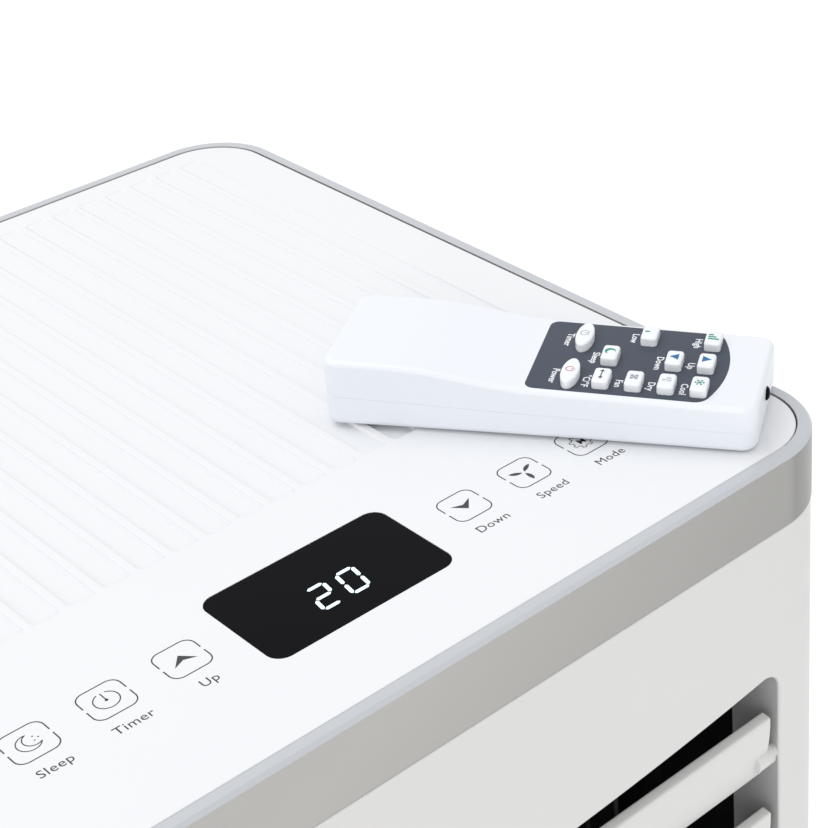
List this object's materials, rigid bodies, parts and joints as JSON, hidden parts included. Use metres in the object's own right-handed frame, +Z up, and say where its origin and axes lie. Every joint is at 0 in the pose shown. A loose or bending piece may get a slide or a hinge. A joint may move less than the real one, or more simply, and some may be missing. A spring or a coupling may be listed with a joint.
{
  "type": "portable air conditioner",
  "caption": "Upright mobile air conditioner on casters with a ribbed top, touch keys, a display window, swinging outlet louvres and a handset lying on top.",
  "frame": {"origin": "on the floor, under the middle of the cabinet", "axes": "+Z up, +X to the user's right, the front with the air outlet faces -Y"},
  "size_m": [0.3212, 0.33, 0.7124],
  "materials": {
    "white_shell": "satin",
    "silver_band": "satin metallic paint",
    "gloss_white_panel": "gloss",
    "black_window": "high gloss",
    "black_plastic": "matte",
    "grey_plastic": "matte",
    "coil_aluminium": "bare fins",
    "copper_pipe": "bare copper",
    "painted_can": "satin black paint",
    "motor_steel": "satin",
    "board_green": "lacquered board",
    "soft_black_rubber": "matte",
    "handset_white": "satin",
    "keypad_slate": "satin",
    "key_white": "satin"
  },
  "bodies": {
    "cabinet": {"base_tray": "white_shell", "front_cover": "white_shell", "rear_cover": "white_shell", "trim_band": "silver_band", "top_panel": "gloss_white_panel", "display_window": "black_window", "outlet_duct": "black_plastic", "blower_housing": "grey_plastic", "blower_motor": "motor_steel", "evaporator_coil": "coil_aluminium", "condenser_coil": "coil_aluminium", "compressor": "painted_can", "deck_tray": "grey_plastic", "exhaust_duct": "grey_plastic", "fan_motor": "motor_steel", "exhaust_collar": "white_shell", "control_board": "board_green", "display_board": "board_green", "suction_pipe": "copper_pipe", "discharge_pipe": "copper_pipe", "cord_gland": "soft_black_rubber", "handle_left": "white_shell", "handle_right": "white_shell"},
    "louver_1": {"louver_1": "white_shell"},
    "louver_2": {"louver_2": "white_shell"},
    "louver_3": {"louver_3": "white_shell"},
    "louver_link": {"louver_link": "black_plastic"},
    "vane_1": {"vane_1": "black_plastic"},
    "vane_2": {"vane_2": "black_plastic"},
    "vane_3": {"vane_3": "black_plastic"},
    "vane_4": {"vane_4": "black_plastic"},
    "vane_link": {"vane_link": "grey_plastic"},
    "blower_wheel": {"blower_wheel": "black_plastic"},
    "condenser_fan": {"condenser_fan": "black_plastic"},
    "caster_fork_front_left": {"caster_fork_front_left": "grey_plastic"},
    "caster_wheel_front_left": {"caster_wheel_front_left": "soft_black_rubber"},
    "caster_fork_front_right": {"caster_fork_front_right": "grey_plastic"},
    "caster_wheel_front_right": {"caster_wheel_front_right": "soft_black_rubber"},
    "caster_fork_rear_left": {"caster_fork_rear_left": "grey_plastic"},
    "caster_wheel_rear_left": {"caster_wheel_rear_left": "soft_black_rubber"},
    "caster_fork_rear_right": {"caster_fork_rear_right": "grey_plastic"},
    "caster_wheel_rear_right": {"caster_wheel_rear_right": "soft_black_rubber"},
    "air_filter": {"air_filter": "grey_plastic"},
    "drain_plug": {"drain_plug": "grey_plastic"},
    "remote": {"remote_top": "handset_white", "remote_bottom": "handset_white", "keypad_plate": "keypad_slate", "ir_window": "black_window"},
    "battery_cover": {"battery_cover": "handset_white"},
    "key_high": {"key_high": "key_white"},
    "key_up": {"key_up": "key_white"},
    "key_cool": {"key_cool": "key_white"},
    "key_down": {"key_down": "key_white"},
    "key_dry": {"key_dry": "key_white"},
    "key_low": {"key_low": "key_white"},
    "key_fan": {"key_fan": "key_white"},
    "key_sleep": {"key_sleep": "key_white"},
    "key_unit": {"key_unit": "key_white"},
    "key_timer": {"key_timer": "key_white"},
    "key_power": {"key_power": "key_white"}
  },
  "joints": [
    {"name": "louver_1_tilt", "type": "hinge", "parent": "cabinet", "child": "louver_1", "pos_m": [0, -0.161, 0.5759], "axis": [1, 0, 0], "range_deg": [-55, 35]},
    {"name": "louver_2_tilt", "type": "hinge", "parent": "cabinet", "child": "louver_2", "pos_m": [0, -0.161, 0.5356], "axis": [1, 0, 0], "range_deg": [-55, 35]},
    {"name": "louver_3_tilt", "type": "hinge", "parent": "cabinet", "child": "louver_3", "pos_m": [0, -0.161, 0.4953], "axis": [1, 0, 0], "range_deg": [-55, 35]},
    {"name": "louver_link_pin", "type": "hinge", "parent": "louver_1", "child": "louver_link", "pos_m": [-0.1364, -0.149, 0.5759], "axis": [1, 0, 0], "range_deg": [-35, 55]},
    {"name": "vane_1_swing", "type": "hinge", "parent": "cabinet", "child": "vane_1", "pos_m": [-0.078, -0.126, 0.542], "axis": [0, 0, 1], "range_deg": [-35, 35]},
    {"name": "vane_2_swing", "type": "hinge", "parent": "cabinet", "child": "vane_2", "pos_m": [-0.026, -0.126, 0.542], "axis": [0, 0, 1], "range_deg": [-35, 35]},
    {"name": "vane_3_swing", "type": "hinge", "parent": "cabinet", "child": "vane_3", "pos_m": [0.026, -0.126, 0.542], "axis": [0, 0, 1], "range_deg": [-35, 35]},
    {"name": "vane_4_swing", "type": "hinge", "parent": "cabinet", "child": "vane_4", "pos_m": [0.078, -0.126, 0.542], "axis": [0, 0, 1], "range_deg": [-35, 35]},
    {"name": "vane_link_pin", "type": "hinge", "parent": "vane_1", "child": "vane_link", "pos_m": [-0.078, -0.114, 0.4792], "axis": [0, 0, 1], "range_deg": [-35, 35]},
    {"name": "blower_spin", "type": "hinge", "parent": "cabinet", "child": "blower_wheel", "pos_m": [0, 0.025, 0.535], "axis": [1, 0, 0], "continuous": true},
    {"name": "condenser_fan_spin", "type": "hinge", "parent": "cabinet", "child": "condenser_fan", "pos_m": [0, 0.061, 0.15], "axis": [0, 1, 0], "continuous": true},
    {"name": "caster_swivel_front_left", "type": "hinge", "parent": "cabinet", "child": "caster_fork_front_left", "pos_m": [-0.118, -0.118, 0.038], "axis": [0, 0, 1], "continuous": true},
    {"name": "caster_roll_front_left", "type": "hinge", "parent": "caster_fork_front_left", "child": "caster_wheel_front_left", "pos_m": [-0.118, -0.106, 0.018], "axis": [1, 0, 0], "continuous": true},
    {"name": "caster_swivel_front_right", "type": "hinge", "parent": "cabinet", "child": "caster_fork_front_right", "pos_m": [0.118, -0.118, 0.038], "axis": [0, 0, 1], "continuous": true},
    {"name": "caster_roll_front_right", "type": "hinge", "parent": "caster_fork_front_right", "child": "caster_wheel_front_right", "pos_m": [0.118, -0.106, 0.018], "axis": [1, 0, 0], "continuous": true},
    {"name": "caster_swivel_rear_left", "type": "hinge", "parent": "cabinet", "child": "caster_fork_rear_left", "pos_m": [-0.118, 0.118, 0.038], "axis": [0, 0, 1], "continuous": true},
    {"name": "caster_roll_rear_left", "type": "hinge", "parent": "caster_fork_rear_left", "child": "caster_wheel_rear_left", "pos_m": [-0.118, 0.13, 0.018], "axis": [1, 0, 0], "continuous": true},
    {"name": "caster_swivel_rear_right", "type": "hinge", "parent": "cabinet", "child": "caster_fork_rear_right", "pos_m": [0.118, 0.118, 0.038], "axis": [0, 0, 1], "continuous": true},
    {"name": "caster_roll_rear_right", "type": "hinge", "parent": "caster_fork_rear_right", "child": "caster_wheel_rear_right", "pos_m": [0.118, 0.13, 0.018], "axis": [1, 0, 0], "continuous": true},
    {"name": "air_filter_slide", "type": "slide", "parent": "cabinet", "child": "air_filter", "axis": [1, 0, 0], "range_m": [0, 0.28]},
    {"name": "drain_plug_pull", "type": "slide", "parent": "cabinet", "child": "drain_plug", "axis": [0, 1, 0], "range_m": [0, 0.03]},
    {"name": "remote_lift", "type": "slide", "parent": "cabinet", "child": "remote", "axis": [0, 0, 1], "range_m": [0, 0.15]},
    {"name": "battery_cover_slide", "type": "slide", "parent": "remote", "child": "battery_cover", "axis": [-0.5691, 0.8219, 0.0262], "range_m": [0, 0.06]},
    {"name": "key_high_press", "type": "slide", "parent": "remote", "child": "key_high", "axis": [-0.0149, 0.0215, -0.9997], "range_m": [0, 0.0008], "stiffness_N_per_m": 400},
    {"name": "key_up_press", "type": "slide", "parent": "remote", "child": "key_up", "axis": [-0.0149, 0.0215, -0.9997], "range_m": [0, 0.0008], "stiffness_N_per_m": 400},
    {"name": "key_cool_press", "type": "slide", "parent": "remote", "child": "key_cool", "axis": [-0.0149, 0.0215, -0.9997], "range_m": [0, 0.0008], "stiffness_N_per_m": 400},
    {"name": "key_down_press", "type": "slide", "parent": "remote", "child": "key_down", "axis": [-0.0149, 0.0215, -0.9997], "range_m": [0, 0.0008], "stiffness_N_per_m": 400},
    {"name": "key_dry_press", "type": "slide", "parent": "remote", "child": "key_dry", "axis": [-0.0149, 0.0215, -0.9997], "range_m": [0, 0.0008], "stiffness_N_per_m": 400},
    {"name": "key_low_press", "type": "slide", "parent": "remote", "child": "key_low", "axis": [-0.0149, 0.0215, -0.9997], "range_m": [0, 0.0008], "stiffness_N_per_m": 400},
    {"name": "key_fan_press", "type": "slide", "parent": "remote", "child": "key_fan", "axis": [-0.0149, 0.0215, -0.9997], "range_m": [0, 0.0008], "stiffness_N_per_m": 400},
    {"name": "key_sleep_press", "type": "slide", "parent": "remote", "child": "key_sleep", "axis": [-0.0149, 0.0215, -0.9997], "range_m": [0, 0.0008], "stiffness_N_per_m": 400},
    {"name": "key_unit_press", "type": "slide", "parent": "remote", "child": "key_unit", "axis": [-0.0149, 0.0215, -0.9997], "range_m": [0, 0.0008], "stiffness_N_per_m": 400},
    {"name": "key_timer_press", "type": "slide", "parent": "remote", "child": "key_timer", "axis": [-0.0149, 0.0215, -0.9997], "range_m": [0, 0.0008], "stiffness_N_per_m": 400},
    {"name": "key_power_press", "type": "slide", "parent": "remote", "child": "key_power", "axis": [-0.0149, 0.0215, -0.9997], "range_m": [0, 0.0008], "stiffness_N_per_m": 400}
  ],
  "couplings": [
    {"joint": "louver_2_tilt", "follows": "louver_1_tilt", "ratio": 1},
    {"joint": "louver_3_tilt", "follows": "louver_1_tilt", "ratio": 1},
    {"joint": "louver_link_pin", "follows": "louver_1_tilt", "ratio": -1},
    {"joint": "vane_2_swing", "follows": "vane_1_swing", "ratio": 1},
    {"joint": "vane_3_swing", "follows": "vane_1_swing", "ratio": 1},
    {"joint": "vane_4_swing", "follows": "vane_1_swing", "ratio": 1},
    {"joint": "vane_link_pin", "follows": "vane_1_swing", "ratio": -1}
  ]
}
